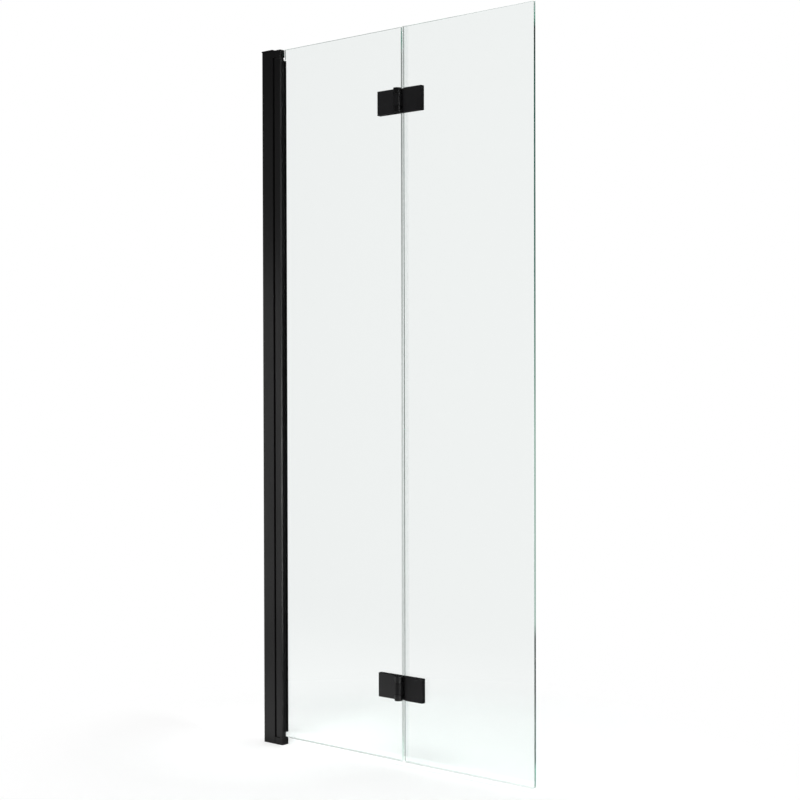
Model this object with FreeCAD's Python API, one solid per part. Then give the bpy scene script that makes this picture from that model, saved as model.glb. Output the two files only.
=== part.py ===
import FreeCAD, Part
import math
import os

# A two-panel folding bath screen, hung from a wall channel.
# X runs along the screen from the wall, -Y faces the room and +Z is up.
# The origin is on the wall face, at the foot of the channel, in the middle plane of the glass.
# All lengths are in millimetres.

# The whole screen
screen_width = 700.0
screen_height = 1500.0
glass_thickness = 6.0
running_clearance = 0.05
press_clearance = 0.02
seat_clearance = 0.1
overrun = 1.0

# The two panes
outer_glass_width = 315.5
panel_gap = 5.5
glass_foot = 17.0
glass_drop = 1.0
glass_arris = 0.5
glass_corner = 1.5
notch_corner = 4.0
foot_notch_clearance = 0.8
head_notch_clearance = 1.9

# The wall channel and its cap
channel_reach = 32.0
channel_front = 15.0
channel_back = 10.0
channel_wall = 1.8
channel_web = 2.0
channel_edge = 0.6
cap_thickness = 2.0
cap_overhang = 1.8
cap_edge = 0.5
cap_peg_radius = 1.8
cap_peg_length = 5.0
cap_peg_inset = 5.0
wall_hole_radius = 2.5
wall_hole_inset = 99.0
inner_hole_share = 1.0 / 3.0

# The jamb that slides in the channel, and the screws that lock it
jamb_depth = 19.8
jamb_wall = 1.5
jamb_inset = 0.2
sliding_clearance = 0.3
port_radius = 3.2
port_root = 0.4
port_setback = 4.7
lock_shank_radius = 2.0
lock_head_radius = 4.2
lock_head_height = 2.2
lock_shank_length = 8.0
lock_inset = 4.0
lock_slot_length = 12.0
screw_socket_radius = 1.4
screw_socket_depth = 1.3
lock_height_shares = (0.1, 0.5, 0.9)

# The two brackets that carry the pivots
upper_bracket_height = 15.5
lower_bracket_height = 15.0
upper_arm_depth = 12.6
lower_arm_depth = 16.5
upper_boss_radius = 9.5
lower_boss_radius = 13.9
bracket_seam_width = 1.2
bracket_seam_depth = 1.5
bracket_screw_radius = 1.95
bracket_head_radius = 3.8
bracket_screw_length = 24.0
bracket_head_sink = 0.4

# The turning profile that grips the inner pane
turning_gap = 4.6
turning_width = 17.9
turning_wall = 1.5
turning_bevel_width = 1.45
turning_bevel_depth = 3.4
turning_bevel_edge = 0.4
turning_corner = 1.0
turning_foot_gap = 3.0
turning_head_gap = 3.8
turning_clearance = 0.9
slot_back_corner = 2.5
grip_depth = 10.0
grip_wall = 2.7
grip_foot_trim = 8.8
grip_head_trim = 3.0
liner_thickness = 0.8

# The pivots
pin_radius = 3.0
pin_bracket_depth = 12.0
pin_bush_depth = 22.0
bush_depth = 28.0
lower_bush_flange = 1.5
upper_bush_flange = 2.5
bush_flange_margin = 0.2
thrust_washer_radius = 5.2
thrust_gap = 0.2

# The folding hinges
hinge_inset = 150.0
hinge_half_length = 56.5
hinge_height = 49.0
leaf_start = 12.9
leaf_thickness = 10.0
leaf_edge = 0.8
web_thickness = 5.0
web_clearance = 1.25
neck_width = 5.75
knuckle_radius = 8.3
knuckle_offset = 4.5
knuckle_gap = 0.6
middle_knuckle_share = 0.5
hinge_washer_thickness = 0.4
hinge_washer_radius = 7.0
pin_cap_radius = 5.0
pin_cap_thickness = 1.2
pad_thickness = 1.0
pad_margin = 0.5

# The screws and sleeves that hold a leaf to the glass
leaf_screw_spacing = 24.0
leaf_screw_radius = 2.5
leaf_head_radius = 5.0
leaf_screw_bite = 8.0
leaf_socket_radius = 1.7
leaf_socket_depth = 1.5
sleeve_radius = 5.5
sleeve_flush_depth = 0.2
glass_sink_share = 0.5

# The clear seals
seal_skin = 0.8
seal_leg = 11.1
seal_web = 1.5
seal_lip = 9.5
seal_lip_bulb = 0.9
seal_end_inset = 0.5
seal_pivot_clearance = 1.2
joint_seal_leg = 10.0
joint_seal_web = 1.3
joint_seal_clearance = 0.4
joint_bulb_wall = 0.5
joint_seal_seat = 0.3

# Places that follow from the sizes above
channel_height = screen_height - cap_thickness
glass_top = screen_height - glass_drop
glass_half = glass_thickness / 2
slot_half = glass_half + liner_thickness
outer_glass_left = screen_width - outer_glass_width
inner_glass_right = outer_glass_left - panel_gap
fold_x = outer_glass_left - panel_gap / 2

jamb_right = channel_reach - jamb_inset
jamb_left = jamb_right - jamb_depth
jamb_front = channel_front - channel_wall - sliding_clearance
jamb_back = channel_back - channel_wall - sliding_clearance
jamb_foot = lower_bracket_height
jamb_top = channel_height - upper_bracket_height
port_x = jamb_right - jamb_wall - port_setback
port_front_y = -jamb_front + jamb_wall + port_radius - port_root
port_back_y = jamb_back - jamb_wall - port_radius + port_root
port_places = ((port_x, port_front_y), (port_x, port_back_y))

turning_left = channel_reach + turning_gap
turning_right = turning_left + turning_width
turning_foot = lower_bracket_height + turning_foot_gap
turning_top = jamb_top - turning_head_gap
chamber_front = channel_front - turning_wall
chamber_back = slot_half + turning_wall
slot_back = slot_half + grip_wall
grip_left = turning_right - grip_depth
grip_foot = turning_foot + grip_foot_trim
grip_top = turning_top - grip_head_trim

# The pivot stands so far out that the back of the profile clears the channel at a quarter turn.
pivot_y = -(channel_front + slot_half) / 2
pivot_x = channel_reach + turning_clearance + slot_back - pivot_y
lower_pin_foot = lower_bracket_height - pin_bracket_depth
upper_pin_top = jamb_top + pin_bracket_depth

leaf_back = glass_half + pad_thickness
leaf_front = leaf_back + leaf_thickness
fold_y = -(leaf_front + knuckle_offset)
leaf_screw_offset = (leaf_start + hinge_half_length) / 2
glass_hole_radius = sleeve_radius + seat_clearance
sink_depth = glass_thickness * glass_sink_share
leaf_screw_face = glass_half - sleeve_flush_depth
hinge_centres = {
    "upper": glass_top - hinge_inset,
    "lower": glass_foot + hinge_inset,
}
middle_knuckle_half = hinge_height * middle_knuckle_share / 2


def place_plan(u, v):
    """A point of a section seen from above."""
    return FreeCAD.Vector(u, v, 0)


def place_front(u, v):
    """A point of an outline seen from the front."""
    return FreeCAD.Vector(u, 0, v)


def place_end(u, v):
    """A point of a section seen from the free end."""
    return FreeCAD.Vector(0, u, v)


def corner_points(before, corner, after, radius):
    """Start, middle and end of the arc that rounds one corner of an outline."""
    back = (before - corner).normalize()
    onward = (after - corner).normalize()
    half_angle = back.getAngle(onward) / 2
    setback = radius / math.tan(half_angle)
    inward = (back + onward).normalize()
    depth = radius / math.sin(half_angle) - radius
    return corner + back * setback, corner + inward * depth, corner + onward * setback


def rounded_face(corners, place):
    """A flat face through corners given as (u, v, radius)."""
    spots = [place(u, v) for u, v, radius in corners]
    bends = []
    for index, (u, v, radius) in enumerate(corners):
        before = spots[index - 1]
        after = spots[(index + 1) % len(spots)]
        if radius > 0:
            bends.append(corner_points(before, spots[index], after, radius))
        else:
            bends.append((spots[index],))
    edges = []
    for index, bend in enumerate(bends):
        if len(bend) > 1:
            edges.append(Part.Arc(*bend).toShape())
        onward = bends[(index + 1) % len(bends)][0]
        edges.append(Part.LineSegment(bend[-1], onward).toShape())
    return Part.Face(Part.Wire(edges))


def upright(corners, foot, top):
    """A vertical extrusion of a section between two heights."""
    face = rounded_face(corners, place_plan)
    face.translate(FreeCAD.Vector(0, 0, foot))
    return face.extrude(FreeCAD.Vector(0, 0, top - foot))


def slab(corners, front, back):
    """An outline seen from the front, thickened from front to back."""
    face = rounded_face(corners, place_front)
    face.translate(FreeCAD.Vector(0, front, 0))
    return face.extrude(FreeCAD.Vector(0, back - front, 0))


def level(corners, start, end):
    """A horizontal extrusion along the screen."""
    face = rounded_face(corners, place_end)
    face.translate(FreeCAD.Vector(start, 0, 0))
    return face.extrude(FreeCAD.Vector(end - start, 0, 0))


def oblong(low_u, high_u, low_v, high_v, radius=0.0):
    """The four corners of an oblong, all rounded alike."""
    spots = ((low_u, low_v), (high_u, low_v), (high_u, high_v), (low_u, high_v))
    return [(u, v, radius) for u, v in spots]


def block(x_low, x_high, y_low, y_high, z_low, z_high):
    """A plain rectangular block."""
    corner = FreeCAD.Vector(x_low, y_low, z_low)
    return Part.makeBox(x_high - x_low, y_high - y_low, z_high - z_low, corner)


def post(radius, x, y, foot, top):
    """A vertical round bar."""
    return Part.makeCylinder(radius, top - foot, FreeCAD.Vector(x, y, foot))


def crossbar(radius, x, z, front, back):
    """A round bar from front to back."""
    start = FreeCAD.Vector(x, front, z)
    return Part.makeCylinder(radius, back - front, start, FreeCAD.Vector(0, 1, 0))


def funnel(radius, length, x, z, front):
    """A cone that widens towards the back at half a right angle."""
    start = FreeCAD.Vector(x, front, z)
    return Part.makeCone(radius, radius + length, length, start, FreeCAD.Vector(0, 1, 0))


def edges_at(shape, test):
    """The edges whose ends all pass a test on their points."""
    return [edge for edge in shape.Edges if all(test(vertex.Point) for vertex in edge.Vertexes)]


def save(name, *solids):
    """Write one piece, or a group of like pieces, under its name."""
    shape = solids[0] if len(solids) == 1 else Part.makeCompound(list(solids))
    shape.exportStep("parts/" + name + ".step")


def countersunk_screw(shank_radius, head_radius, length, socket_radius, socket_depth):
    """A countersunk screw along Z, with its flat head at Z zero and its shank below."""
    head_height = head_radius - shank_radius
    down = FreeCAD.Vector(0, 0, -1)
    head = Part.makeCone(head_radius, shank_radius, head_height, FreeCAD.Vector(), down)
    shank = Part.makeCylinder(shank_radius, length, FreeCAD.Vector(), down)
    return head.fuse(shank).removeSplitter().cut(hex_socket(socket_radius, socket_depth))


def pan_screw(shank_radius, head_radius, head_height, length, socket_radius, socket_depth):
    """A pan-head screw along Z, seated at Z zero with its head above."""
    head = Part.makeCylinder(head_radius, head_height)
    rim = edges_at(head, lambda point: point.z > head_height / 2)
    head = head.makeFillet(head_height / 2, rim)
    shank = Part.makeCylinder(shank_radius, length, FreeCAD.Vector(), FreeCAD.Vector(0, 0, -1))
    socket = hex_socket(socket_radius, socket_depth)
    socket.translate(FreeCAD.Vector(0, 0, head_height))
    return head.fuse(shank).removeSplitter().cut(socket)


def hex_socket(radius, depth):
    """The six-sided recess in a screw head, cut down from Z zero."""
    points = [
        FreeCAD.Vector(radius * math.cos(turn * math.pi / 3), radius * math.sin(turn * math.pi / 3), -depth)
        for turn in range(7)
    ]
    face = Part.Face(Part.makePolygon(points))
    return face.extrude(FreeCAD.Vector(0, 0, depth + overrun))


def wall_channel():
    """The extruded channel on the wall, open towards the bath screen."""
    outside = oblong(0, channel_reach, -channel_front, channel_back, channel_edge)
    body = upright(outside, 0, channel_height)
    inside = block(
        channel_web,
        channel_reach + overrun,
        -channel_front + channel_wall,
        channel_back - channel_wall,
        -overrun,
        channel_height + overrun,
    )
    body = body.cut(inside)
    for height in wall_hole_heights():
        start = FreeCAD.Vector(-overrun, 0, height)
        bore = Part.makeCylinder(wall_hole_radius, channel_web + 2 * overrun, start, FreeCAD.Vector(1, 0, 0))
        body = body.cut(bore)
    for height in lock_heights():
        body = body.cut(lock_slot(height))
    return body


def wall_hole_heights():
    """Heights of the four wall screws: an outer pair and an inner pair about the same middle."""
    middle = channel_height / 2
    outer_half = middle - wall_hole_inset
    inner_half = outer_half * inner_hole_share
    return (middle - outer_half, middle - inner_half, middle + inner_half, middle + outer_half)


def lock_heights():
    """Heights of the screws that lock the jamb in the channel."""
    return [channel_height * share for share in lock_height_shares]


def lock_slot(height):
    """The slot in the back flange that lets the jamb slide before its screw is tightened."""
    radius = lock_shank_radius + seat_clearance
    middle = jamb_left + lock_inset
    reach = lock_slot_length / 2 - radius
    front = channel_back - channel_wall - overrun
    back = channel_back + overrun
    ends = [crossbar(radius, middle + side * reach, height, front, back) for side in (-1, 1)]
    return block(middle - reach, middle + reach, front, back, height - radius, height + radius).fuse(ends)


def channel_cap():
    """The thin cap that closes the top of the channel, with two pegs."""
    outline = oblong(0, channel_reach, -channel_front - cap_overhang, channel_back + cap_overhang, cap_edge)
    cap = upright(outline, channel_height, screen_height)
    for x, y in cap_peg_places():
        cap = cap.fuse(post(cap_peg_radius, x, y, channel_height - cap_peg_length, channel_height))
    return cap.removeSplitter()


def cap_peg_places():
    """Where the cap's pegs stand in the upper bracket."""
    return [(jamb_left + cap_peg_inset, y) for x, y in port_places]


def jamb_profile():
    """The inner extrusion, open towards the wall, with two screw ports along it."""
    body = block(jamb_left, jamb_right, -jamb_front, jamb_back, jamb_foot, jamb_top)
    hollow = block(
        jamb_left - overrun,
        jamb_right - jamb_wall,
        -jamb_front + jamb_wall,
        jamb_back - jamb_wall,
        jamb_foot - overrun,
        jamb_top + overrun,
    )
    body = body.cut(hollow)
    for x, y in port_places:
        body = body.fuse(post(port_radius, x, y, jamb_foot, jamb_top))
    for x, y in port_places:
        bore_radius = bracket_screw_radius + press_clearance
        body = body.cut(post(bore_radius, x, y, jamb_foot - overrun, jamb_top + overrun))
    radius = lock_shank_radius + press_clearance
    front = jamb_back - jamb_wall - overrun
    for height in lock_heights():
        body = body.cut(crossbar(radius, jamb_left + lock_inset, height, front, jamb_back + overrun))
    return body.removeSplitter()


def lock_screws():
    """The screws through the back flange, with their heads outside the channel."""
    screws = []
    for height in lock_heights():
        screw = pan_screw(
            lock_shank_radius,
            lock_head_radius,
            lock_head_height,
            lock_shank_length,
            screw_socket_radius,
            screw_socket_depth,
        )
        screw.rotate(FreeCAD.Vector(), FreeCAD.Vector(1, 0, 0), -90)
        screw.translate(FreeCAD.Vector(jamb_left + lock_inset, channel_back, height))
        screws.append(screw)
    return screws


def bevelled_corner(margin):
    """The flat across the front right corner of the turning profile, drawn in by a margin."""
    right = turning_right - margin
    front = -channel_front + margin
    return [
        (right - turning_bevel_width, front, turning_bevel_edge),
        (right, front + turning_bevel_depth, turning_bevel_edge),
    ]


def pivot_bracket(foot, top, arm_depth, boss_radius):
    """A bracket: a tongue that fills the channel's end, and an arm rounded behind about the pivot."""
    tongue = block(jamb_left, channel_reach, -jamb_front, jamb_back, foot, top)
    outline = [
        (channel_reach, -channel_front, 0.0),
        *bevelled_corner(0),
        (turning_right, -channel_front + arm_depth, 0.0),
        (channel_reach, -channel_front + arm_depth, 0.0),
    ]
    arm = upright(outline, foot, top)
    behind = block(channel_reach, turning_right, pivot_y, pivot_y + boss_radius, foot, top)
    boss = post(boss_radius, pivot_x, pivot_y, foot, top).common(behind)
    return tongue.fuse([arm, boss]).removeSplitter()


def bracket_screw_hole(x, y, height, upwards):
    """The countersunk hole for one bracket screw; upwards is +1 where the head faces up."""
    shank = bracket_screw_radius + seat_clearance
    head = bracket_head_radius + seat_clearance
    outward = FreeCAD.Vector(0, 0, upwards)
    bore = Part.makeCylinder(shank, bracket_screw_length, FreeCAD.Vector(), -outward)
    cone = Part.makeCone(head, shank, head - shank, FreeCAD.Vector(), -outward)
    mouth = Part.makeCylinder(head, bracket_head_sink + overrun, FreeCAD.Vector(), outward)
    tool = bore.fuse([cone, mouth])
    tool.translate(FreeCAD.Vector(x, y, height))
    return tool


def bracket_screw(x, y, height, upwards):
    """One bracket screw, its head in the end of the bracket."""
    screw = countersunk_screw(
        bracket_screw_radius,
        bracket_head_radius,
        bracket_screw_length,
        screw_socket_radius,
        screw_socket_depth,
    )
    if upwards < 0:
        screw.rotate(FreeCAD.Vector(), FreeCAD.Vector(1, 0, 0), 180)
    screw.translate(FreeCAD.Vector(x, y, height))
    return screw


def bracket_screws():
    """The four screws that fix the brackets to the ends of the jamb."""
    upper = [bracket_screw(x, y, channel_height - bracket_head_sink, 1) for x, y in port_places]
    lower = [bracket_screw(x, y, bracket_head_sink, -1) for x, y in port_places]
    return upper + lower


def upper_pivot_bracket():
    """The top bracket, with its pin bore, screw holes and holes for the cap's pegs."""
    body = pivot_bracket(jamb_top, channel_height, upper_arm_depth, upper_boss_radius)
    body = body.cut(post(pin_radius + press_clearance, pivot_x, pivot_y, jamb_top - overrun, upper_pin_top))
    for x, y in port_places:
        body = body.cut(bracket_screw_hole(x, y, channel_height - bracket_head_sink, 1))
    for x, y in cap_peg_places():
        depth = channel_height - cap_peg_length - seat_clearance
        body = body.cut(post(cap_peg_radius + seat_clearance, x, y, depth, channel_height + overrun))
    return body


def lower_pivot_bracket():
    """The bottom bracket, which carries both panes, with a seam beside the channel's flange."""
    body = pivot_bracket(0, lower_bracket_height, lower_arm_depth, lower_boss_radius)
    seam = block(
        channel_reach,
        channel_reach + bracket_seam_width,
        -channel_front - overrun,
        -channel_front + bracket_seam_depth,
        -overrun,
        lower_bracket_height + overrun,
    )
    body = body.cut(seam)
    body = body.cut(post(pin_radius + press_clearance, pivot_x, pivot_y, lower_pin_foot, jamb_foot + overrun))
    for x, y in port_places:
        body = body.cut(bracket_screw_hole(x, y, bracket_head_sink, -1))
    return body


def pivot_pin(foot, top):
    """A steel pin, pressed in a bracket and running in a bush."""
    return post(pin_radius, pivot_x, pivot_y, foot, top)


def lower_thrust_washer():
    """The washer between the lower bracket and the bush that stands on it."""
    top = turning_foot - lower_bush_flange - thrust_gap
    ring = post(thrust_washer_radius, pivot_x, pivot_y, lower_bracket_height, top)
    return ring.cut(post(pin_radius + seat_clearance, pivot_x, pivot_y, 0, top + overrun))


def turning_profile():
    """The extrusion that turns on the pins: a hollow chamber in front and the slot for the pane behind."""
    outline = [
        (turning_left, -channel_front, turning_corner),
        *bevelled_corner(0),
        (turning_right, -slot_half, 0.0),
        (turning_left, -slot_half, turning_corner),
    ]
    front = upright(outline, turning_foot, turning_top)
    chamber = oblong(
        turning_left + turning_wall,
        turning_right - turning_wall,
        -chamber_front,
        -chamber_back,
        turning_corner,
    )
    front = front.cut(upright(chamber, turning_foot - overrun, turning_top + overrun))
    wall_left = grip_left - turning_wall
    grip = upright(
        [
            (wall_left, -slot_half - turning_wall / 2, 0.0),
            (turning_right, -slot_half - turning_wall / 2, 0.0),
            (turning_right, slot_back, 0.0),
            (wall_left, slot_back, slot_back_corner),
        ],
        grip_foot,
        grip_top,
    )
    slot = block(
        grip_left,
        turning_right + overrun,
        -slot_half,
        slot_half,
        grip_foot - overrun,
        grip_top + overrun,
    )
    return front.fuse(grip.cut(slot)).removeSplitter()


def glass_liner():
    """The black strip folded round the pane's edge in the slot."""
    body = block(grip_left, turning_right, -slot_half, slot_half, grip_foot, grip_top)
    inside = block(
        grip_left + liner_thickness,
        turning_right + overrun,
        -glass_half,
        glass_half,
        grip_foot - overrun,
        grip_top + overrun,
    )
    return body.cut(inside)


def pivot_bush(end, inward, flange_thickness):
    """A bush pushed into one end of the turning profile; inward is +1 at the foot and -1 at the top."""
    plug_end = end + inward * bush_depth
    plug = oblong(
        turning_left + turning_wall + seat_clearance,
        turning_right - turning_wall - seat_clearance,
        -chamber_front + seat_clearance,
        -chamber_back - seat_clearance,
        turning_corner,
    )
    flange = [
        (turning_left + bush_flange_margin, -channel_front + bush_flange_margin, turning_corner),
        *bevelled_corner(bush_flange_margin),
        (turning_right - bush_flange_margin, -slot_half - bush_flange_margin, turning_corner),
        (turning_left + bush_flange_margin, -slot_half - bush_flange_margin, turning_corner),
    ]
    flange_end = end - inward * flange_thickness
    body = upright(plug, min(end, plug_end), max(end, plug_end))
    body = body.fuse(upright(flange, min(end, flange_end), max(end, flange_end)))
    low = min(flange_end, plug_end) - overrun
    high = max(flange_end, plug_end) + overrun
    return body.cut(post(pin_radius + running_clearance, pivot_x, pivot_y, low, high)).removeSplitter()


def pane(corners):
    """A pane of toughened glass with its edges arrissed front and back."""
    body = slab(corners, -glass_half, glass_half)
    front = edges_at(body, lambda point: abs(point.y + glass_half) < glass_arris / 2)
    back = edges_at(body, lambda point: abs(point.y - glass_half) < glass_arris / 2)
    return body.makeChamfer(glass_arris, front + back)


def leaf_holes(side):
    """The stepped holes in the glass for the leaves on one side of the joint."""
    holes = []
    for x, z in screw_places(side):
        bore = crossbar(glass_hole_radius, x, z, -glass_half - overrun, glass_half)
        sink = funnel(glass_hole_radius, sink_depth + overrun, x, z, glass_half - sink_depth)
        holes.append(bore.fuse(sink))
    return holes


def screw_places(side):
    """Where the screws of both hinges stand; side is -1 on the inner pane and +1 on the outer."""
    x = fold_x + side * leaf_screw_offset
    return [
        (x, centre + half * leaf_screw_spacing / 2)
        for centre in hinge_centres.values()
        for half in (-1, 1)
    ]


def inner_glass():
    """The pane by the wall, notched at its two wall corners to pass the brackets."""
    foot_notch_x = turning_right + foot_notch_clearance
    head_notch_x = turning_right + head_notch_clearance
    edge_x = grip_left + liner_thickness
    body = pane(
        [
            (edge_x, grip_foot, glass_corner),
            (foot_notch_x, grip_foot, notch_corner),
            (foot_notch_x, glass_foot, glass_corner),
            (inner_glass_right, glass_foot, glass_corner),
            (inner_glass_right, glass_top, glass_corner),
            (head_notch_x, glass_top, glass_corner),
            (head_notch_x, grip_top, notch_corner),
            (edge_x, grip_top, glass_corner),
        ]
    )
    return body.cut(leaf_holes(-1))


def outer_glass():
    """The free pane, a plain oblong."""
    body = pane(oblong(outer_glass_left, screen_width, glass_foot, glass_top, glass_corner))
    return body.cut(leaf_holes(1))


def bottom_seal(start, end):
    """A clear channel on the lower edge of a pane, with a lip that wipes the rim of the bath."""
    inner_y = glass_half + running_clearance
    outer_y = inner_y + seal_skin
    web_top = glass_foot - running_clearance
    web_foot = web_top - seal_web
    leg_top = glass_foot + seal_leg
    lip_foot = web_foot - seal_lip
    lip_half = seal_skin / 2
    outline = [
        (-outer_y, leg_top, 0.0),
        (-outer_y, web_foot, lip_half),
        (-lip_half, web_foot, 0.0),
        (-lip_half, lip_foot + 2 * seal_lip_bulb, 0.0),
        (-seal_lip_bulb, lip_foot + seal_lip_bulb, 0.0),
        (-lip_half, lip_foot, 0.0),
        (lip_half, lip_foot, 0.0),
        (seal_lip_bulb, lip_foot + seal_lip_bulb, 0.0),
        (lip_half, lip_foot + 2 * seal_lip_bulb, 0.0),
        (lip_half, web_foot, 0.0),
        (outer_y, web_foot, lip_half),
        (outer_y, leg_top, 0.0),
        (inner_y, leg_top, 0.0),
        (inner_y, web_top, 0.0),
        (-inner_y, web_top, 0.0),
        (-inner_y, leg_top, 0.0),
    ]
    return level(outline, start, end)


def inner_seal_start():
    """The lip starts clear of the lower bracket's round boss."""
    reach = lower_boss_radius + seal_pivot_clearance
    lip_y = -pivot_y - seal_lip_bulb
    return pivot_x + math.sqrt(reach**2 - lip_y**2)


def joint_seal():
    """The clear channel on the edge of the free pane, with a hollow bulb that closes the gap."""
    inner_y = glass_half + running_clearance
    outer_y = inner_y + seal_skin
    web_right = outer_glass_left - running_clearance
    web_left = web_right - joint_seal_web
    leg_end = outer_glass_left + joint_seal_leg
    foot = glass_foot + seal_leg + joint_seal_seat
    channel = upright(oblong(web_left, leg_end, -outer_y, outer_y, seal_skin / 2), foot, glass_top)
    inside = block(web_right, leg_end + overrun, -inner_y, inner_y, foot - overrun, glass_top + overrun)
    bulb_left = inner_glass_right + joint_seal_clearance
    bulb_root = web_left + joint_bulb_wall
    bulb_radius = (bulb_root - bulb_left) / 2
    bulb_x = bulb_left + bulb_radius
    bulb = post(bulb_radius, bulb_x, 0, foot, glass_top)
    hollow = post(bulb_radius - joint_bulb_wall, bulb_x, 0, foot - overrun, glass_top + overrun)
    return channel.cut(inside).fuse(bulb).cut(hollow).removeSplitter()


def along(side, near, far):
    """The two ends of a stretch beside the fold line, in rising order."""
    ends = (fold_x + side * near, fold_x + side * far)
    return min(ends), max(ends)


def knuckle_spans(side, centre):
    """The heights of the knuckles on one leaf: two on the inner leaf and one on the outer."""
    half = hinge_height / 2
    if side > 0:
        return [(centre - middle_knuckle_half, centre + middle_knuckle_half)]
    reach = middle_knuckle_half + knuckle_gap
    return [(centre - half, centre - reach), (centre + reach, centre + half)]


def hinge_leaf(side, centre):
    """One leaf: a thick plate on the glass, a thinner web beside the joint and its knuckles."""
    low = centre - hinge_height / 2
    high = centre + hinge_height / 2
    plate = block(*along(side, leaf_start, hinge_half_length), -leaf_front, -leaf_back, low, high)
    across = edges_at(plate, lambda point: point.y < -leaf_back - leaf_edge)
    plate = plate.makeFillet(leaf_edge, across)
    web = block(*along(side, web_clearance, leaf_start), -leaf_back - web_thickness, -leaf_back, low, high)
    body = plate.fuse(web)
    for foot, top in knuckle_spans(side, centre):
        neck = block(
            *along(side, web_clearance, web_clearance + neck_width),
            fold_y,
            -leaf_back - web_thickness / 2,
            foot,
            top,
        )
        body = body.fuse([post(knuckle_radius, fold_x, fold_y, foot, top), neck])
    fit = running_clearance if side > 0 else press_clearance
    body = body.cut(post(pin_radius + fit, fold_x, fold_y, low - overrun, high + overrun))
    for foot, top in ((low - overrun, low + pin_cap_thickness), (high - pin_cap_thickness, high + overrun)):
        body = body.cut(post(pin_cap_radius + press_clearance, fold_x, fold_y, foot, top))
    radius = leaf_screw_radius + press_clearance
    for x, z in screw_places(side):
        body = body.cut(crossbar(radius, x, z, -leaf_back - leaf_screw_bite, -leaf_back + overrun))
    return body.removeSplitter()


def hinge_pad(side, centre):
    """The thin pad between a leaf and the glass."""
    half = hinge_height / 2 - pad_margin
    near, far = along(side, leaf_start + pad_margin, hinge_half_length - pad_margin)
    body = block(near, far, -leaf_back, -glass_half, centre - half, centre + half)
    for x, z in screw_places(side):
        body = body.cut(crossbar(glass_hole_radius, x, z, -leaf_back - overrun, -glass_half + overrun))
    return body


def hinge_pin(centre):
    """The steel pin through the three knuckles, between its caps."""
    half = hinge_height / 2 - pin_cap_thickness
    return post(pin_radius, fold_x, fold_y, centre - half, centre + half)


def hinge_washers():
    """The slip washers in the gaps between the knuckles."""
    rings = []
    for centre in hinge_centres.values():
        for half in (-1, 1):
            middle = centre + half * (middle_knuckle_half + knuckle_gap / 2)
            foot = middle - hinge_washer_thickness / 2
            top = middle + hinge_washer_thickness / 2
            ring = post(hinge_washer_radius, fold_x, fold_y, foot, top)
            hole = post(pin_radius + seat_clearance, fold_x, fold_y, foot - overrun, top + overrun)
            rings.append(ring.cut(hole))
    return rings


def hinge_pin_caps():
    """The round caps let into both ends of each barrel."""
    caps = []
    for centre in hinge_centres.values():
        low = centre - hinge_height / 2
        high = centre + hinge_height / 2
        caps.append(post(pin_cap_radius, fold_x, fold_y, low, low + pin_cap_thickness))
        caps.append(post(pin_cap_radius, fold_x, fold_y, high - pin_cap_thickness, high))
    return caps


def leaf_screws(side):
    """The countersunk screws from behind the glass into the leaves."""
    length = leaf_screw_face + leaf_back + leaf_screw_bite
    screws = []
    for x, z in screw_places(side):
        screw = countersunk_screw(
            leaf_screw_radius,
            leaf_head_radius,
            length,
            leaf_socket_radius,
            leaf_socket_depth,
        )
        screw.rotate(FreeCAD.Vector(), FreeCAD.Vector(1, 0, 0), -90)
        screw.translate(FreeCAD.Vector(x, leaf_screw_face, z))
        screws.append(screw)
    return screws


def leaf_sleeves(side):
    """The clear sleeves that keep the screws off the glass."""
    flare_start = glass_half - sink_depth
    flare_length = leaf_screw_face - flare_start
    bore_radius = leaf_screw_radius + press_clearance
    seat_length = leaf_head_radius - leaf_screw_radius
    sleeves = []
    for x, z in screw_places(side):
        body = crossbar(sleeve_radius, x, z, -leaf_back, leaf_screw_face)
        body = body.fuse(funnel(sleeve_radius, flare_length, x, z, flare_start))
        body = body.cut(crossbar(bore_radius, x, z, -leaf_back - overrun, leaf_screw_face + overrun))
        body = body.cut(funnel(bore_radius, seat_length, x, z, leaf_screw_face - seat_length))
        sleeves.append(body.removeSplitter())
    return sleeves


os.makedirs("parts", exist_ok=True)

save("wall_channel", wall_channel())
save("channel_cap", channel_cap())
save("jamb_profile", jamb_profile())
save("lock_screws", *lock_screws())
save("upper_pivot_bracket", upper_pivot_bracket())
save("lower_pivot_bracket", lower_pivot_bracket())
save("bracket_screws", *bracket_screws())
save("lower_pivot_pin", pivot_pin(lower_pin_foot, turning_foot + pin_bush_depth))
save("upper_pivot_pin", pivot_pin(turning_top - pin_bush_depth, upper_pin_top))
save("lower_thrust_washer", lower_thrust_washer())

save("turning_profile", turning_profile())
save("glass_liner", glass_liner())
save("lower_pivot_bush", pivot_bush(turning_foot, 1, lower_bush_flange))
save("upper_pivot_bush", pivot_bush(turning_top, -1, upper_bush_flange))
save("inner_glass", inner_glass())
save("inner_bottom_seal", bottom_seal(inner_seal_start(), inner_glass_right - seal_end_inset))

save("outer_glass", outer_glass())
save("outer_bottom_seal", bottom_seal(outer_glass_left + seal_end_inset, screen_width - seal_end_inset))
save("joint_seal", joint_seal())

for name, centre in hinge_centres.items():
    save(name + "_hinge_inner_leaf", hinge_leaf(-1, centre))
    save(name + "_hinge_outer_leaf", hinge_leaf(1, centre))
    save(name + "_hinge_inner_pad", hinge_pad(-1, centre))
    save(name + "_hinge_outer_pad", hinge_pad(1, centre))
    save(name + "_hinge_pin", hinge_pin(centre))
save("hinge_washers", *hinge_washers())
save("hinge_pin_caps", *hinge_pin_caps())
save("inner_leaf_screws", *leaf_screws(-1))
save("outer_leaf_screws", *leaf_screws(1))
save("inner_leaf_sleeves", *leaf_sleeves(-1))
save("outer_leaf_sleeves", *leaf_sleeves(1))
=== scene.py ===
import math

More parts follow.
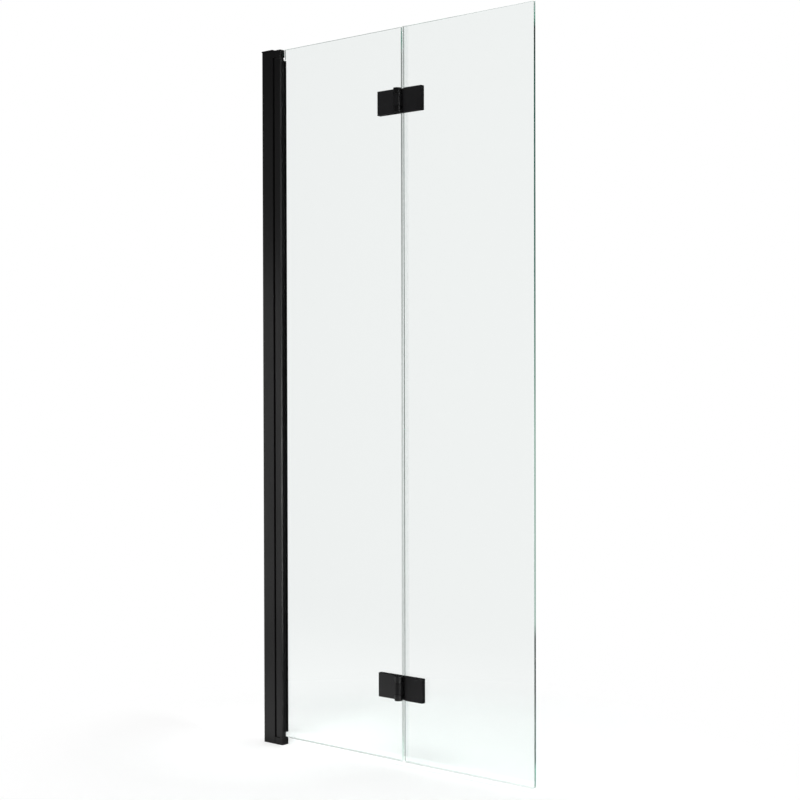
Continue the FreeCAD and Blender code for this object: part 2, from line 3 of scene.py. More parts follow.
import bpy
from mathutils import Matrix, Vector

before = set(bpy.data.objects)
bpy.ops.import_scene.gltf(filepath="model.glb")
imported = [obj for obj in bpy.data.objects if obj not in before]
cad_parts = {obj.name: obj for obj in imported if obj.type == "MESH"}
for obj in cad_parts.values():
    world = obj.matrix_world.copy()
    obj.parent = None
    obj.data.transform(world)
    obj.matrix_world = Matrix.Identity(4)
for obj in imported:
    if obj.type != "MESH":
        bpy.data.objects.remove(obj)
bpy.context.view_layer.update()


# The wall channel: a long aluminium section, open along one side, screwed to the wall through its web.
# It is drawn through a die, which leaves faint lines along it, and then powder coated in satin black.
# The other black sections of the screen have the same coat, so its texture is made here once.

def new_finish(name):
    """A material, with its node tree and its bare shader."""
    finish = bpy.data.materials.new(name)
    finish.use_nodes = True
    return finish, finish.node_tree, finish.node_tree.nodes["Principled BSDF"]


def put_on(finish, *names):
    """Give the finish to the pieces of these names."""
    for name in names:
        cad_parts[name].material_slots[0].material = finish


def new_effect(name, inputs, outputs):
    """An empty node group with named values in and numbers out, and the sockets of its two ends."""
    effect = bpy.data.node_groups.new(name, "ShaderNodeTree")
    for label, value in inputs.items():
        kind = "NodeSocketVector" if isinstance(value, tuple) else "NodeSocketFloat"
        socket = effect.interface.new_socket(label, in_out="INPUT", socket_type=kind)
        socket.default_value = value
    for label in outputs:
        effect.interface.new_socket(label, in_out="OUTPUT", socket_type="NodeSocketFloat")
    return effect, effect.nodes.new("NodeGroupInput").outputs, effect.nodes.new("NodeGroupOutput").inputs


def place_effect(tree, effect, **values):
    """One use of an effect in a material, with its own values, and what it puts out."""
    node = tree.nodes.new("ShaderNodeGroup")
    node.node_tree = effect
    for label, value in values.items():
        node.inputs[label.replace("_", " ")].default_value = value
    return node.outputs


def feed(tree, socket, value):
    """Set a socket to a number, a vector or a colour, or wire another socket to it."""
    if isinstance(value, (float, tuple)):
        socket.default_value = value
    else:
        tree.links.new(value, socket)


even = (1.0, 1.0, 1.0)


def stretched_noise(tree, scale, stretch, detail, roughness):
    """Noise on the piece's own coordinates in metres, drawn out along an axis."""
    place = tree.nodes.new("ShaderNodeTexCoord")
    mapping = tree.nodes.new("ShaderNodeMapping")
    feed(tree, mapping.inputs["Scale"], stretch)
    noise = tree.nodes.new("ShaderNodeTexNoise")
    noise.inputs["Scale"].default_value = scale
    noise.inputs["Detail"].default_value = detail
    noise.inputs["Roughness"].default_value = roughness
    tree.links.new(place.outputs["Object"], mapping.inputs["Vector"])
    tree.links.new(mapping.outputs["Vector"], noise.inputs["Vector"])
    return noise.outputs["Fac"]


def ranged(tree, source, start, end, low=0.0, high=1.0):
    """Turn a number that runs from start to end into one that runs from low to high and stays there."""
    node = tree.nodes.new("ShaderNodeMapRange")
    node.inputs["From Min"].default_value = start
    node.inputs["From Max"].default_value = end
    feed(tree, node.inputs["To Min"], low)
    feed(tree, node.inputs["To Max"], high)
    tree.links.new(source, node.inputs["Value"])
    return node.outputs["Result"]


noise_low, noise_high = 0.3, 0.7


def spread(tree, noise, low, high):
    """Noise gathers about its middle, so this draws the middle out between two numbers or sockets."""
    return ranged(tree, noise, noise_low, noise_high, low, high)


def arithmetic(tree, operation, first, second):
    """One sum on two numbers or sockets."""
    node = tree.nodes.new("ShaderNodeMath")
    node.operation = operation
    feed(tree, node.inputs[0], first)
    feed(tree, node.inputs[1], second)
    return node.outputs["Value"]


# Powder coat: a fine orange peel about a millimetre across, softly uneven shine and a slight mottle.
coat, given, wanted = new_effect(
    "powder coat", {"Tone": 0.005, "Shine Low": 0.3, "Shine High": 0.42}, ["Tone", "Roughness", "Height"]
)
peel_scale, patch_scale, mottle = 1100.0, 14.0, 0.25
peel = stretched_noise(coat, peel_scale, even, 2.0, 0.5)
patches = stretched_noise(coat, patch_scale, (1.0, 1.0, 0.4), 3.0, 0.55)
mottled = arithmetic(coat, "MULTIPLY", given["Tone"], spread(coat, patches, 1.0 - mottle, 1.0 + mottle))
coat.links.new(mottled, wanted["Tone"])
coat.links.new(spread(coat, patches, given["Shine Low"], given["Shine High"]), wanted["Roughness"])
coat.links.new(peel, wanted["Height"])

# Die lines: fine scores along the length of a section, of uneven depth across it.
die_lines, given, wanted = new_effect("die lines", {"Depth": 1.0}, ["Height"])
scores = stretched_noise(die_lines, 1.0, (900.0, 900.0, 1.2), 4.0, 0.6)
die_lines.links.new(arithmetic(die_lines, "MULTIPLY", scores, given["Depth"]), wanted["Height"])


def paint_dark(tree, shader, tone, blue=1.0):
    """Colour the shader in a grey so dark that it reads as black, with a little more blue if it is given."""
    colour = tree.nodes.new("ShaderNodeCombineColor")
    for channel, share in (("Red", 1.0), ("Green", 1.0), ("Blue", blue)):
        tree.links.new(arithmetic(tree, "MULTIPLY", tone, share), colour.inputs[channel])
    tree.links.new(colour.outputs["Color"], shader.inputs["Base Color"])


def add_bump(tree, shader, height, strength, distance):
    """Raise the surface a little where the height is more."""
    bump = tree.nodes.new("ShaderNodeBump")
    bump.inputs["Strength"].default_value = strength
    bump.inputs["Distance"].default_value = distance
    tree.links.new(height, bump.inputs["Height"])
    tree.links.new(bump.outputs["Normal"], shader.inputs["Normal"])
    return bump


def black_coat(name, tone, shine, peel_height, line_depth, edge_radius):
    """A satin black coat on metal: its tone, its peel, die lines where the metal is drawn, and softened edges."""
    finish, tree, shader = new_finish(name)
    texture = place_effect(tree, coat, Tone=tone, Shine_Low=shine[0], Shine_High=shine[1])
    paint_dark(tree, shader, texture["Tone"], blue=1.06)
    tree.links.new(texture["Roughness"], shader.inputs["Roughness"])
    height = texture["Height"]
    if line_depth > 0:
        height = arithmetic(tree, "ADD", height, place_effect(tree, die_lines, Depth=line_depth)["Height"])
    bump = add_bump(tree, shader, height, 0.25, peel_height)
    bevel = tree.nodes.new("ShaderNodeBevel")
    bevel.samples = 4
    bevel.inputs["Radius"].default_value = edge_radius
    tree.links.new(bevel.outputs["Normal"], bump.inputs["Normal"])
    return finish


channel_black = black_coat(
    "channel black", tone=0.0036, shine=(0.3, 0.42), peel_height=0.00003, line_depth=0.6, edge_radius=0.0004
)
put_on(channel_black, "wall_channel")


# The jamb: the section that slides in the channel, hidden inside it but for its edge in the groove.
# It is drawn aluminium with a thinner black coat, fixed by the lock screws once the screen stands true.

jamb_black = black_coat(
    "jamb black", tone=0.004, shine=(0.36, 0.48), peel_height=0.00002, line_depth=1.0, edge_radius=0.0003
)
put_on(jamb_black, "jamb_profile")


# The channel's cap: a thin moulded lid of black nylon, pressed on the top by its two pegs.
# Moulded nylon has a spark-eroded grain, rougher than the coat beside it, and is a little greyer.

grain, given, wanted = new_effect(
    "moulded grain", {"Tone": 0.008, "Size": 2600.0, "Low": 0.42, "High": 0.6}, ["Tone", "Roughness", "Height"]
)
place = grain.nodes.new("ShaderNodeTexCoord")
pebbles = grain.nodes.new("ShaderNodeTexVoronoi")
grain.links.new(place.outputs["Object"], pebbles.inputs["Vector"])
grain.links.new(given["Size"], pebbles.inputs["Scale"])
grain.links.new(pebbles.outputs["Distance"], wanted["Height"])
rubbed = stretched_noise(grain, 40.0, even, 2.0, 0.5)
grain.links.new(spread(grain, rubbed, given["Low"], given["High"]), wanted["Roughness"])
cloud = stretched_noise(grain, 60.0, even, 2.0, 0.5)
darker = arithmetic(grain, "MULTIPLY", given["Tone"], 0.8)
lighter = arithmetic(grain, "MULTIPLY", given["Tone"], 1.25)
grain.links.new(spread(grain, cloud, darker, lighter), wanted["Tone"])


def moulded_black(name, tone, shine, size, depth):
    """Black plastic or rubber from a grained mould."""
    finish, tree, shader = new_finish(name)
    texture = place_effect(tree, grain, Tone=tone, Size=size, Low=shine[0], High=shine[1])
    paint_dark(tree, shader, texture["Tone"])
    tree.links.new(texture["Roughness"], shader.inputs["Roughness"])
    add_bump(tree, shader, texture["Height"], 0.3, depth)
    return finish


cap_nylon = moulded_black("cap nylon", tone=0.007, shine=(0.4, 0.55), size=2600.0, depth=0.00004)
put_on(cap_nylon, "channel_cap")


# The lock screws behind the channel and the bracket screws in its ends: turned stainless steel.
# Turning leaves rings round each screw's own axis, which blur its shine into a soft sweep.

# Tool marks: fine lines drawn out one way, which roughen the surface unevenly.
marks, given, wanted = new_effect(
    "tool marks", {"Stretch": even, "Low": 0.2, "High": 0.4}, ["Marks", "Roughness"]
)
lines = stretched_noise(marks, 1.0, given["Stretch"], 3.0, 0.6)
marks.links.new(lines, wanted["Marks"])
marks.links.new(spread(marks, lines, given["Low"], given["High"]), wanted["Roughness"])


def ramped(tree, source, *stops):
    """A colour that runs through some stops as a number grows."""
    ramp = tree.nodes.new("ShaderNodeValToRGB")
    elements = ramp.color_ramp.elements
    elements[0].position, elements[0].color = stops[0]
    elements[1].position, elements[1].color = stops[-1]
    for position, colour in stops[1:-1]:
        elements.new(position).color = colour
    tree.links.new(source, ramp.inputs["Fac"])
    return ramp.outputs["Color"]


def turned_steel(name, tone, shine, anisotropy, stretch):
    """Bare stainless steel, turned or ground, with fine marks drawn out one way."""
    finish, tree, shader = new_finish(name)
    texture = place_effect(tree, marks, Stretch=stretch, Low=shine[0], High=shine[1])
    dull, bright = (tone * 0.82, tone * 0.82, tone * 0.81, 1), (tone, tone, tone * 1.01, 1)
    colour = ramped(tree, texture["Marks"], (noise_low, dull), (noise_high, bright))
    tree.links.new(colour, shader.inputs["Base Color"])
    tree.links.new(texture["Roughness"], shader.inputs["Roughness"])
    shader.inputs["Metallic"].default_value = 1.0
    shader.inputs["Anisotropic"].default_value = anisotropy
    add_bump(tree, shader, texture["Marks"], 0.2, 0.00001)
    return finish


screw_steel = turned_steel(
    "screw steel", tone=0.62, shine=(0.24, 0.4), anisotropy=0.3, stretch=(1500.0, 300.0, 1500.0)
)
put_on(screw_steel, "lock_screws", "bracket_screws")


# The upper and lower brackets: pressure-cast aluminium, in the ends of the channel and out over the pivot.
# A casting is smoother than a drawn section and its edges are tumbled soft, under the same black coat.

bracket_black = black_coat(
    "bracket black", tone=0.0036, shine=(0.3, 0.4), peel_height=0.00003, line_depth=0.0, edge_radius=0.0006
)
put_on(bracket_black, "upper_pivot_bracket", "lower_pivot_bracket")


# The pivot pins: ground steel pins pressed into the brackets, on which the inner panel turns.
# Grinding leaves them brighter than the screws, with marks round the pin.

pin_steel = turned_steel(
    "pin steel", tone=0.68, shine=(0.14, 0.24), anisotropy=0.5, stretch=(200.0, 200.0, 4000.0)
)
put_on(pin_steel, "lower_pivot_pin", "upper_pivot_pin")


# The thrust washer under the turning profile and the two bushes in its ends: self-oiling black nylon.
# They are moulded, and polished where the pin and the washer rub.

bearing_nylon = moulded_black("bearing nylon", tone=0.008, shine=(0.3, 0.45), size=3200.0, depth=0.00002)
put_on(bearing_nylon, "lower_thrust_washer", "lower_pivot_bush", "upper_pivot_bush")


# The turning profile: a drawn aluminium section with a hollow front and a slot behind for the pane.
# A flat bevel cuts off its front right edge, and the same satin black coat shows a long highlight there.

turning_black = black_coat(
    "turning black", tone=0.0036, shine=(0.28, 0.4), peel_height=0.00003, line_depth=0.6, edge_radius=0.0002
)
put_on(turning_black, "turning_profile")


# The liner: a thin black strip folded round the edge of the pane, which wedges it in the slot.
# It is soft extruded rubber, matt, with a faint bloom.

liner_rubber = moulded_black("liner rubber", tone=0.006, shine=(0.6, 0.75), size=3500.0, depth=0.00003)
put_on(liner_rubber, "glass_liner")


# The panes: clear toughened glass, 6 mm thick, cut, drilled and notched before it was hardened.
# The faces are as smooth as float glass is, and the ground edges are flat, satin and green to look into.
# The edges carry painted light: a pale green emission that glows more low down than high up, in place of the light
# a real pane carries inside it to its edges.

glass_front, glass_back = -0.003, 0.003
screen_height = 1.5
joint_middle = 0.382


def see_through(tree, shader, tint):
    """Let the light of the lamps pass, so that a clear piece throws only a faint shadow."""
    path = tree.nodes.new("ShaderNodeLightPath")
    clear = tree.nodes.new("ShaderNodeBsdfTransparent")
    clear.inputs["Color"].default_value = tint
    mix = tree.nodes.new("ShaderNodeMixShader")
    tree.links.new(path.outputs["Is Shadow Ray"], mix.inputs["Fac"])
    tree.links.new(shader.outputs["BSDF"], mix.inputs[1])
    tree.links.new(clear.outputs["BSDF"], mix.inputs[2])
    tree.links.new(mix.outputs["Shader"], tree.nodes["Material Output"].inputs["Surface"])


def mixed(tree, share, first, second):
    """One colour turned into another by a share."""
    node = tree.nodes.new("ShaderNodeMix")
    node.data_type = "RGBA"
    feed(tree, node.inputs["A"], first)
    feed(tree, node.inputs["B"], second)
    tree.links.new(share, node.inputs["Factor"])
    return node.outputs["Result"]


def split(tree, vector):
    """The three numbers of a vector."""
    node = tree.nodes.new("ShaderNodeSeparateXYZ")
    tree.links.new(vector, node.inputs["Vector"])
    return node.outputs


pane_glass, tree, shader = new_finish("pane glass")
place = tree.nodes.new("ShaderNodeTexCoord")
facing = split(tree, place.outputs["Normal"])
spot = split(tree, place.outputs["Object"])
edge = ranged(tree, arithmetic(tree, "ABSOLUTE", facing["Y"], 0.0), 0.8, 0.4)
level = arithmetic(tree, "ABSOLUTE", facing["Z"], 0.0)

face_tint, edge_tint = (0.986, 0.991, 0.989, 1), (0.82, 0.93, 0.88, 1)
tree.links.new(mixed(tree, edge, face_tint, edge_tint), shader.inputs["Base Color"])
ground = place_effect(tree, marks, Stretch=(2500.0, 2500.0, 60.0), Low=0.12, High=0.3)
tree.links.new(arithmetic(tree, "MULTIPLY", edge, ground["Roughness"]), shader.inputs["Roughness"])
waves = arithmetic(tree, "MULTIPLY", stretched_noise(tree, 3.0, (1.0, 1.0, 0.5), 1.0, 0.4), 0.05)
grinding = arithmetic(tree, "MULTIPLY", edge, arithmetic(tree, "MULTIPLY", ground["Marks"], 0.02))
add_bump(tree, shader, arithmetic(tree, "ADD", waves, grinding), 0.1, 0.0005)

black = (0.0, 0.0, 0.0, 1)
# Painted light on the edges: the top and bottom faces glow pale, the free upright edge glows by height, the joint
# edges glow by their depth in the pane and less near the top, and the covered edge of the inner pane glows only
# faintly.
painted_light_level_edges, painted_light_covered_edge = (0.62, 0.66, 0.645, 1), (0.06, 0.08, 0.07, 1)
painted_light_free_edge = ramped(
    tree,
    ranged(tree, spot["Z"], 0.0, screen_height),
    (0.0, (0.02, 0.05, 0.045, 1)),
    (0.09, (0.1, 0.155, 0.14, 1)),
    (0.13, (0.02, 0.04, 0.035, 1)),
    (0.2, (0.02, 0.04, 0.035, 1)),
    (0.22, (0.28, 0.41, 0.355, 1)),
    (0.46, (0.22, 0.36, 0.3, 1)),
    (0.52, (0.12, 0.24, 0.19, 1)),
    (0.64, (0.03, 0.12, 0.09, 1)),
    (0.9, (0.0, 0.06, 0.04, 1)),
    (0.97, black),
)
through = ranged(tree, spot["Y"], glass_front, glass_back)
painted_light_joint_edges = ramped(
    tree,
    through,
    (0.0, (0.97, 1.0, 0.99, 1)),
    (0.15, (0.97, 1.0, 0.99, 1)),
    (0.25, (0.42, 0.46, 0.44, 1)),
    (1.0, (0.6, 0.64, 0.62, 1)),
)
painted_light_upper_joint = ramped(tree, through, (0.0, (0.19, 0.21, 0.2, 1)), (1.0, (0.4, 0.43, 0.42, 1)))
painted_light_joint_edges = mixed(tree, ranged(tree, spot["Z"], 0.8, 1.3), painted_light_joint_edges, painted_light_upper_joint)
painted_light_joint_edges = mixed(tree, ranged(tree, spot["Z"], 1.455, 1.475), painted_light_joint_edges, black)
on_inner_pane = ranged(tree, spot["X"], joint_middle + 0.001, joint_middle - 0.001)
painted_light_joint_edges = mixed(tree, on_inner_pane, painted_light_covered_edge, painted_light_joint_edges)
painted_light_upright_edges = mixed(tree, ranged(tree, spot["X"], 0.6, 0.5), painted_light_free_edge, painted_light_joint_edges)
painted_light_edges = mixed(tree, level, painted_light_upright_edges, painted_light_level_edges)
tree.links.new(mixed(tree, edge, black, painted_light_edges), shader.inputs["Emission Color"])
shader.inputs["Emission Strength"].default_value = 1.0

shader.inputs["IOR"].default_value = 1.52
shader.inputs["Transmission Weight"].default_value = 1.0
depth = tree.nodes.new("ShaderNodeVolumeAbsorption")
depth.inputs["Color"].default_value = (0.36, 0.7, 0.6, 1)
depth.inputs["Density"].default_value = 10.0
tree.links.new(depth.outputs["Volume"], tree.nodes["Material Output"].inputs["Volume"])
see_through(tree, shader, (0.86, 0.9, 0.885, 1))
put_on(pane_glass, "inner_glass", "outer_glass")


# The seals: a channel with a wiping lip on the foot of each pane, and a channel with a bulb at the joint.
# They are extruded in clear soft vinyl, pushed on the glass, with faint lines along them from the die.

# Milkiness: a soft cloud in clear plastic.
milkiness, given, wanted = new_effect("milkiness", {}, ["Cloud"])
milkiness.links.new(stretched_noise(milkiness, 90.0, even, 2.0, 0.5), wanted["Cloud"])


def clear_plastic(name, colour, bending, shine, stretch, tint):
    """Clear plastic, slightly milky, with die lines along it."""
    finish, tree, shader = new_finish(name)
    texture = place_effect(tree, marks, Stretch=stretch, Low=shine[0], High=shine[1])
    cloud = place_effect(tree, milkiness)["Cloud"]
    red, green, blue = colour
    milky, clear = (red * 0.97, green * 0.975, blue * 0.975, 1), (red, green, blue, 1)
    tree.links.new(ramped(tree, cloud, (noise_low, milky), (noise_high, clear)), shader.inputs["Base Color"])
    tree.links.new(texture["Roughness"], shader.inputs["Roughness"])
    add_bump(tree, shader, texture["Marks"], 0.2, 0.00003)
    shader.inputs["IOR"].default_value = bending
    shader.inputs["Transmission Weight"].default_value = 1.0
    see_through(tree, shader, tint)
    return finish, shader


foot_vinyl, shader = clear_plastic(
    "foot seal vinyl",
    colour=(0.965, 0.97, 0.97),
    bending=1.03,
    shine=(0.08, 0.2),
    stretch=(1.5, 900.0, 900.0),
    tint=(0.93, 0.94, 0.94, 1),
)
# A faint white emission on the foot seals: painted light that lifts their dark lines.
shader.inputs["Emission Color"].default_value = (1.0, 1.0, 1.0, 1)
shader.inputs["Emission Strength"].default_value = 0.045
put_on(foot_vinyl, "inner_bottom_seal", "outer_bottom_seal")

joint_vinyl, shader = clear_plastic(
    "joint seal vinyl",
    colour=(0.97, 0.975, 0.975),
    bending=1.12,
    shine=(0.08, 0.2),
    stretch=(900.0, 900.0, 1.5),
    tint=(0.88, 0.9, 0.9, 1),
)
put_on(joint_vinyl, "joint_seal")


# The hinges: two leaves of cast metal on each, clamped to the panes, with knuckles round a steel pin.
# The castings are tumbled, so their edges are soft, and coated in the same satin black.
# The knuckles get a darker painted shade, and a clear gloss coat only on their outer side, towards the lamps,
# which draws a thin highlight line down them.

barrel_axis, barrel_radius = (0.38175, -0.0185, 0.0), 0.0083

# Masks for the knuckles, which take a darker painted shade, and for their outer side towards the lamps, which
# takes a gloss coat.
barrel_shade_and_gloss, given, wanted = new_effect("barrel painted shade and gloss", {}, ["Barrel", "Gloss"])
place = barrel_shade_and_gloss.nodes.new("ShaderNodeTexCoord")
plan = barrel_shade_and_gloss.nodes.new("ShaderNodeVectorMath")
plan.operation = "MULTIPLY"
plan.inputs[1].default_value = (1.0, 1.0, 0.0)
barrel_shade_and_gloss.links.new(place.outputs["Object"], plan.inputs[0])
reach = barrel_shade_and_gloss.nodes.new("ShaderNodeVectorMath")
reach.operation = "DISTANCE"
reach.inputs[1].default_value = barrel_axis
barrel_shade_and_gloss.links.new(plan.outputs["Vector"], reach.inputs[0])
on_barrel = ranged(barrel_shade_and_gloss, reach.outputs["Value"], barrel_radius + 0.0009, barrel_radius + 0.0003)
outer_side = ranged(barrel_shade_and_gloss, split(barrel_shade_and_gloss, place.outputs["Normal"])["X"], 0.6, 0.85, high=0.5)
barrel_shade_and_gloss.links.new(on_barrel, wanted["Barrel"])
barrel_shade_and_gloss.links.new(arithmetic(barrel_shade_and_gloss, "MULTIPLY", on_barrel, outer_side), wanted["Gloss"])


def leaf_black(name, tone, barrel_shade_tone):
    """The black of a hinge leaf, with a darker painted shade on the knuckles and a gloss coat on their outer side.
    """
    finish = black_coat(
        name, tone=tone, shine=(0.28, 0.37), peel_height=0.00003, line_depth=0.0, edge_radius=0.0006
    )
    tree, shader = finish.node_tree, finish.node_tree.nodes["Principled BSDF"]
    polish = place_effect(tree, barrel_shade_and_gloss)
    plate = shader.inputs["Base Color"].links[0].from_socket
    # The darker knuckle tone is painted shade.
    barrel = (barrel_shade_tone, barrel_shade_tone, barrel_shade_tone * 1.05, 1)
    tree.links.new(mixed(tree, polish["Barrel"], plate, barrel), shader.inputs["Base Color"])
    tree.links.new(polish["Gloss"], shader.inputs["Coat Weight"])
    shader.inputs["Coat Roughness"].default_value = 0.08
    return finish, shader


inner_leaf_black, shader = leaf_black("inner leaf black", tone=0.0105, barrel_shade_tone=0.004)
put_on(inner_leaf_black, "upper_hinge_inner_leaf", "lower_hinge_inner_leaf")
outer_leaf_black, shader = leaf_black("outer leaf black", tone=0.011, barrel_shade_tone=0.008)
shader.inputs["Specular IOR Level"].default_value = 0.21
put_on(outer_leaf_black, "upper_hinge_outer_leaf", "lower_hinge_outer_leaf")


# The pads between the leaves and the glass, which spread the clamp's force: black rubber sheet.
# They are cut from sheet, so their faces are dull and even.

pad_rubber = moulded_black("pad rubber", tone=0.008, shine=(0.6, 0.78), size=4200.0, depth=0.00003)
put_on(
    pad_rubber,
    "upper_hinge_inner_pad",
    "upper_hinge_outer_pad",
    "lower_hinge_inner_pad",
    "lower_hinge_outer_pad",
)


# The hinge pins, of ground steel, with a slip washer of black nylon in each gap between the knuckles.
# A moulded cap in each end of the barrel hides the pin.

put_on(pin_steel, "upper_hinge_pin", "lower_hinge_pin")
put_on(bearing_nylon, "hinge_washers")
put_on(cap_nylon, "hinge_pin_caps")


# The screws that pull the leaves on to the glass: countersunk stainless steel, from the back.
# Each stands in a clear nylon sleeve that keeps the metal off the glass.

put_on(screw_steel, "inner_leaf_screws", "outer_leaf_screws")
sleeve_nylon, shader = clear_plastic(
    "sleeve nylon",
    colour=(0.93, 0.94, 0.93),
    bending=1.3,
    shine=(0.2, 0.34),
    stretch=(400.0, 400.0, 400.0),
    tint=(0.8, 0.82, 0.82, 1),
)
put_on(sleeve_nylon, "inner_leaf_sleeves", "outer_leaf_sleeves")


# The floor: a white sheet under the screen, with the screen's faint shadow on it. Away from the screen the camera
# sees it as plain white.
# What the black coat and the glass mirror of it is a painted reflection: dim far off, bright near the screen, with
# a painted shadow at its foot.

def seen_straight(tree):
    """One for a ray from the camera, straight or through glass, and nought once it has been mirrored."""
    path = tree.nodes.new("ShaderNodeLightPath")
    open_way = arithmetic(tree, "MAXIMUM", path.outputs["Is Camera Ray"], path.outputs["Is Transmission Ray"])
    return arithmetic(tree, "MULTIPLY", open_way, arithmetic(tree, "LESS_THAN", path.outputs["Glossy Depth"], 0.5))


def falloff(tree, centre, inner, outer):
    """One within the inner distance of a point and nought beyond the outer."""
    place = tree.nodes.new("ShaderNodeTexCoord")
    reach = tree.nodes.new("ShaderNodeVectorMath")
    reach.operation = "DISTANCE"
    reach.inputs[1].default_value = centre
    tree.links.new(place.outputs["Object"], reach.inputs[0])
    share = ranged(tree, reach.outputs["Value"], outer, inner)
    share.node.interpolation_type = "SMOOTHSTEP"
    return share


def blend(tree, share, first, second):
    """One shader turned into another by a share."""
    mix = tree.nodes.new("ShaderNodeMixShader")
    tree.links.new(share, mix.inputs["Fac"])
    tree.links.new(first, mix.inputs[1])
    tree.links.new(second, mix.inputs[2])
    return mix.outputs["Shader"]


floor_reach, floor_level = 30.0, -0.0002
corners = [(x * floor_reach, y * floor_reach, floor_level) for x, y in ((-1, -1), (1, -1), (1, 1), (-1, 1))]
floor_mesh = bpy.data.meshes.new("studio floor")
floor_mesh.from_pydata(corners, [], [(0, 1, 2, 3)])
floor = bpy.data.objects.new("studio_floor", floor_mesh)
bpy.context.scene.collection.objects.link(floor)

floor_white, tree, shader = new_finish("studio floor")
shader.inputs["Base Color"].default_value = (0.85, 0.85, 0.85, 1)
shader.inputs["Roughness"].default_value = 0.9
shader.inputs["Specular IOR Level"].default_value = 0.0
spot = split(tree, tree.nodes.new("ShaderNodeTexCoord").outputs["Object"])

# Painted light on the floor keeps the shadow faint: an emission fill, with a little more of it behind the screen
# and about the channel's foot.
fill = tree.nodes.new("ShaderNodeEmission")
painted_light_about_foot = arithmetic(tree, "MULTIPLY", falloff(tree, (0.0, 0.0, 0.0), 0.1, 0.4), 0.12)
painted_light_behind = ranged(tree, spot["Y"], -0.02, 0.06, 0.13, 0.24)
tree.links.new(arithmetic(tree, "ADD", painted_light_about_foot, painted_light_behind), fill.inputs["Strength"])
filled = tree.nodes.new("ShaderNodeAddShader")
tree.links.new(shader.outputs["BSDF"], filled.inputs[0])
tree.links.new(fill.outputs["Emission"], filled.inputs[1])
white = tree.nodes.new("ShaderNodeEmission").outputs["Emission"]
shown = blend(tree, falloff(tree, (0.35, 0.0, 0.0), 0.45, 0.9), white, filled.outputs["Shader"])

# The painted reflection: an emission whose tone runs by the distance in front of the screen, dark at and behind
# the screen's foot as a painted contact shadow.
painted_reflection_far, painted_reflection_near = -1.6, 0.1
painted_reflection_tones = (
    (0.0, 0.05), (0.24, 0.13), (0.485, 0.42), (0.7, 0.7), (0.86, 0.76), (0.9, 0.78), (0.925, 0.35), (0.97, 0.06)
)
painted_reflection = ramped(
    tree,
    ranged(tree, spot["Y"], painted_reflection_far, painted_reflection_near),
    *[(share, (tone, tone, tone, 1)) for share, tone in painted_reflection_tones],
)
painted_reflection_light = tree.nodes.new("ShaderNodeEmission")
tree.links.new(painted_reflection, painted_reflection_light.inputs["Color"])
path = tree.nodes.new("ShaderNodeLightPath")
hidden = blend(tree, path.outputs["Is Glossy Ray"], shader.outputs["BSDF"], painted_reflection_light.outputs["Emission"])
surface = blend(tree, seen_straight(tree), hidden, shown)
tree.links.new(surface, tree.nodes["Material Output"].inputs["Surface"])
floor_mesh.materials.append(floor_white)


# The studio round the screen: white to the camera, straight on and through the glass, and a soft even light
# on the object. What the black coat and the glass mirror is the dim room behind the camera.

studio = bpy.data.worlds.new("studio")
bpy.context.scene.world = studio
studio.use_nodes = True
tree = studio.node_tree
ahead = tree.nodes.new("ShaderNodeVectorMath")
ahead.operation = "DOT_PRODUCT"
ahead.inputs[1].default_value = (-0.3, -0.95, 0.0)
tree.links.new(tree.nodes.new("ShaderNodeTexCoord").outputs["Generated"], ahead.inputs[0])


def sky(strength):
    """An even white surrounding of one strength."""
    node = studio.node_tree.nodes.new("ShaderNodeBackground")
    node.inputs["Color"].default_value = (1, 1, 1, 1)
    node.inputs["Strength"].default_value = strength
    return node.outputs["Background"]


room = blend(tree, ranged(tree, ahead.outputs["Value"], -0.2, 0.8), sky(0.03), sky(0.05))
path = tree.nodes.new("ShaderNodeLightPath")
around = blend(tree, path.outputs["Is Glossy Ray"], sky(0.6), room)
surface = blend(tree, seen_straight(tree), around, sky(1.0))
tree.links.new(surface, tree.nodes["World Output"].inputs["Surface"])


# The lamps: a wide soft one over the camera lights the screen and the floor at a plain level.
# Two at the left, one over the other, show in the front faces of the sections. Two at the right, level with
# the screen's face, draw the line down the bevel of the turning profile and beside the hinge barrels.

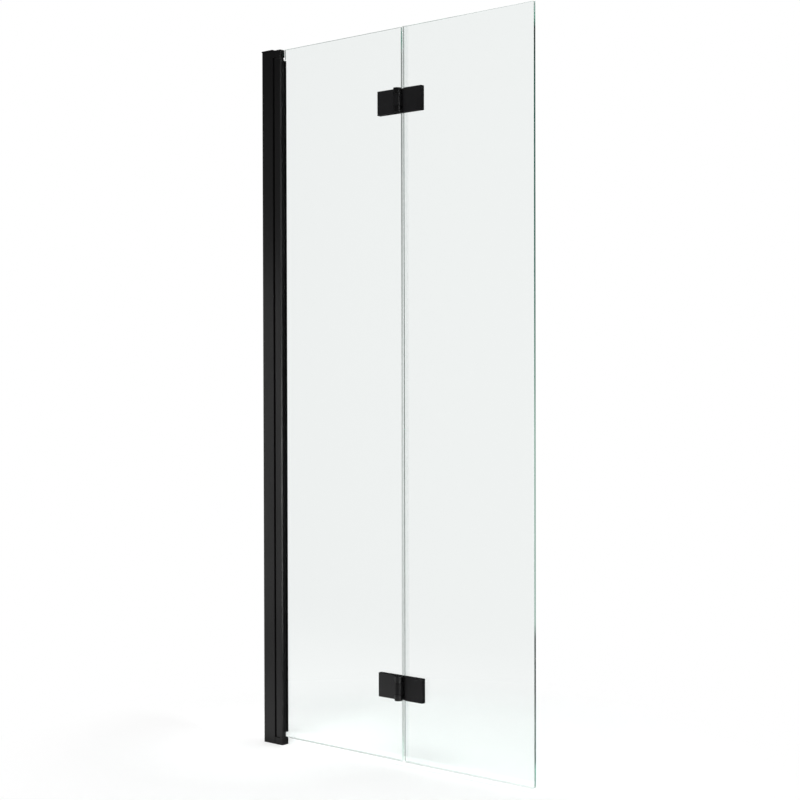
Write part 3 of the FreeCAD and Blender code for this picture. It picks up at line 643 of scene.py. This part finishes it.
def soft_lamp(name, place, target, width, height, power):
    """A rectangular lamp at a place, turned to a target."""
    lamp = bpy.data.lights.new(name, "AREA")
    lamp.shape = "RECTANGLE"
    lamp.size = width
    lamp.size_y = height
    lamp.energy = power
    stand = bpy.data.objects.new(name, lamp)
    stand.location = place
    stand.rotation_euler = (Vector(target) - Vector(place)).to_track_quat("-Z", "Y").to_euler()
    bpy.context.scene.collection.objects.link(stand)
    return stand


over_lamp = soft_lamp("over lamp", (1.2, -2.2, 3.2), (0.35, 0.0, 0.6), width=1.6, height=1.2, power=60)
over_lamp.visible_glossy = False
soft_lamp("left lamp", (-0.82, -0.70, 0.6), (0.04, 0.0, 0.6), width=0.26, height=1.0, power=1.25)
soft_lamp("upper left lamp", (-0.82, -0.70, 1.35), (0.04, 0.0, 1.35), width=0.26, height=0.5, power=0.13)
soft_lamp("low bevel lamp", (2.6, -0.02, 0.25), (0.05, -0.01, 0.25), width=0.16, height=0.6, power=4.8)
soft_lamp("tall bevel lamp", (2.62, -0.03, 1.1), (0.05, -0.01, 1.1), width=0.12, height=2.0, power=4.0)


# The camera stands to the right of the screen at half its height, level, with a short telephoto lens.
# The angles are in radians. The rays may pass many faces, because the joint shows glass and vinyl in layers.

camera_place = (2.2574, -2.3067, 0.7885)
to_the_left, upward, tilt = 0.685248, -0.013665, -0.002097
level_view = math.pi / 2
camera = bpy.data.objects.new("camera", bpy.data.cameras.new("camera"))
camera.data.lens = 66.2625
camera.data.sensor_width = 36.0
camera.data.clip_start = 0.05
camera.data.clip_end = 100.0
turn = (
    Matrix.Rotation(to_the_left, 4, "Z")
    @ Matrix.Rotation(level_view + upward, 4, "X")
    @ Matrix.Rotation(tilt, 4, "Z")
)
camera.matrix_world = Matrix.Translation(camera_place) @ turn
bpy.context.scene.collection.objects.link(camera)
bpy.context.scene.camera = camera
bpy.context.scene.view_settings.view_transform = "Standard"
bpy.context.scene.cycles.max_bounces = 32
bpy.context.scene.cycles.glossy_bounces = 24
bpy.context.scene.cycles.transmission_bounces = 24
